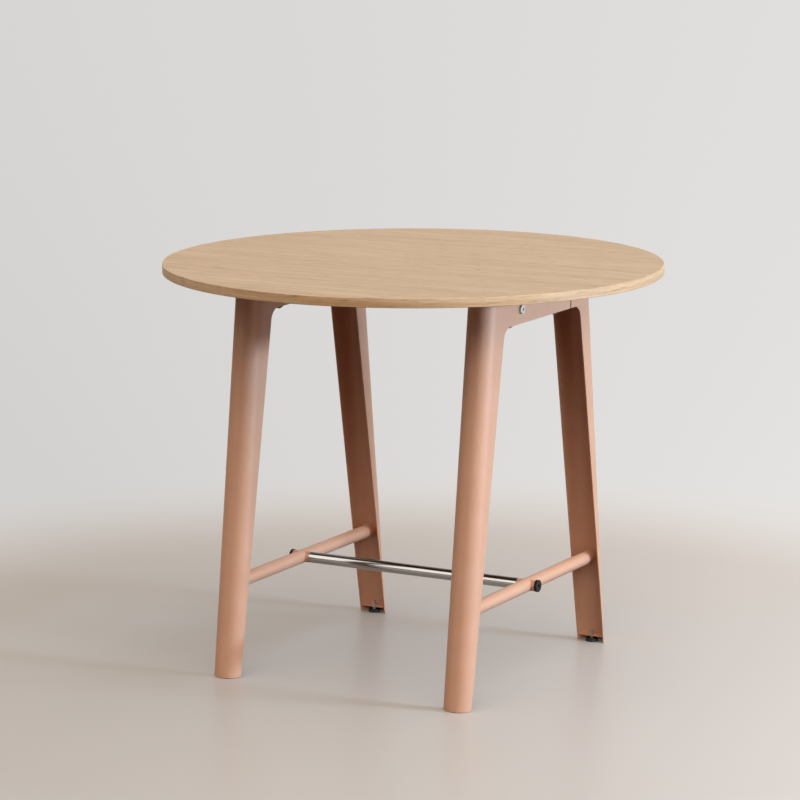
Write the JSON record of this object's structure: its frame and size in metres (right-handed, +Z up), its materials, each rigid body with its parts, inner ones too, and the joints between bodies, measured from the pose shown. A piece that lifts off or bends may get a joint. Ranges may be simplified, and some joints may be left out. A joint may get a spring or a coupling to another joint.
{
  "type": "high table",
  "caption": "Round counter-height table: oak-veneered top on splayed trestles of bent sheet-steel legs, with a stainless foot rail and screw-adjusted levelling feet.",
  "frame": {"origin": "on the floor, under the middle of the top", "axes": "+X along the foot rail, +Y along the trestles, +Z up"},
  "size_m": [1.0998, 1.1, 0.9],
  "materials": {
    "oak_veneer": "matt lacquer on straight-grained oak veneer",
    "oak_lipping": "matt lacquer on oak lipping",
    "core_board": "raw fibreboard",
    "powder_coated_steel": "satin salmon powder coat",
    "black_coated_steel": "matt black powder coat",
    "black_oxide_steel": "black oxide",
    "stainless_steel": "ground stainless tube",
    "zinc_plated_steel": "bright zinc plate",
    "black_nylon": "moulded"
  },
  "bodies": {
    "table": {"top_veneer": "oak_veneer", "underside_veneer": "oak_veneer", "edge_band": "oak_lipping", "top_core": "core_board", "threaded_inserts": "zinc_plated_steel", "leg_front_left": "powder_coated_steel", "foot_plate_front_left": "powder_coated_steel", "top_bracket_front_left": "black_coated_steel", "leg_rear_left": "powder_coated_steel", "foot_plate_rear_left": "powder_coated_steel", "top_bracket_rear_left": "black_coated_steel", "leg_front_right": "powder_coated_steel", "foot_plate_front_right": "powder_coated_steel", "top_bracket_front_right": "black_coated_steel", "leg_rear_right": "powder_coated_steel", "foot_plate_rear_right": "powder_coated_steel", "top_bracket_rear_right": "black_coated_steel", "rung_left": "powder_coated_steel", "rail_socket_left": "powder_coated_steel", "rail_plug_left": "zinc_plated_steel", "rail_bolt_left": "black_oxide_steel", "rung_right": "powder_coated_steel", "rail_socket_right": "powder_coated_steel", "rail_plug_right": "zinc_plated_steel", "rail_bolt_right": "black_oxide_steel", "foot_rail": "stainless_steel", "bracket_screws": "zinc_plated_steel", "cross_bolts": "zinc_plated_steel", "cross_nuts": "zinc_plated_steel", "spacer_sleeves": "zinc_plated_steel"},
    "pad_front_left": {"foot_pad_front_left": "black_nylon"},
    "stud_front_left": {"foot_stud_front_left": "zinc_plated_steel"},
    "pad_rear_left": {"foot_pad_rear_left": "black_nylon"},
    "stud_rear_left": {"foot_stud_rear_left": "zinc_plated_steel"},
    "pad_front_right": {"foot_pad_front_right": "black_nylon"},
    "stud_front_right": {"foot_stud_front_right": "zinc_plated_steel"},
    "pad_rear_right": {"foot_pad_rear_right": "black_nylon"},
    "stud_rear_right": {"foot_stud_rear_right": "zinc_plated_steel"}
  },
  "joints": [
    {"name": "pad_slide_front_left", "type": "slide", "parent": "table", "child": "pad_front_left", "axis": [0, 0, -1], "range_m": [-0.004, 0.01]},
    {"name": "stud_turn_front_left", "type": "hinge", "parent": "pad_front_left", "child": "stud_front_left", "pos_m": [-0.2855, -0.3335, 0.012], "axis": [0, 0, -1], "range_deg": [-1152, 2880]},
    {"name": "pad_slide_rear_left", "type": "slide", "parent": "table", "child": "pad_rear_left", "axis": [0, 0, -1], "range_m": [-0.004, 0.01]},
    {"name": "stud_turn_rear_left", "type": "hinge", "parent": "pad_rear_left", "child": "stud_rear_left", "pos_m": [-0.2855, 0.3335, 0.012], "axis": [0, 0, -1], "range_deg": [-1152, 2880]},
    {"name": "pad_slide_front_right", "type": "slide", "parent": "table", "child": "pad_front_right", "axis": [0, 0, -1], "range_m": [-0.004, 0.01]},
    {"name": "stud_turn_front_right", "type": "hinge", "parent": "pad_front_right", "child": "stud_front_right", "pos_m": [0.2855, -0.3335, 0.012], "axis": [0, 0, -1], "range_deg": [-1152, 2880]},
    {"name": "pad_slide_rear_right", "type": "slide", "parent": "table", "child": "pad_rear_right", "axis": [0, 0, -1], "range_m": [-0.004, 0.01]},
    {"name": "stud_turn_rear_right", "type": "hinge", "parent": "pad_rear_right", "child": "stud_rear_right", "pos_m": [0.2855, 0.3335, 0.012], "axis": [0, 0, -1], "range_deg": [-1152, 2880]}
  ],
  "couplings": [
    {"joint": "pad_slide_front_left", "follows": "stud_turn_front_left", "m_per_rad": 0.00019894},
    {"joint": "pad_slide_rear_left", "follows": "stud_turn_rear_left", "m_per_rad": 0.00019894},
    {"joint": "pad_slide_front_right", "follows": "stud_turn_front_right", "m_per_rad": 0.00019894},
    {"joint": "pad_slide_rear_right", "follows": "stud_turn_rear_right", "m_per_rad": 0.00019894}
  ]
}
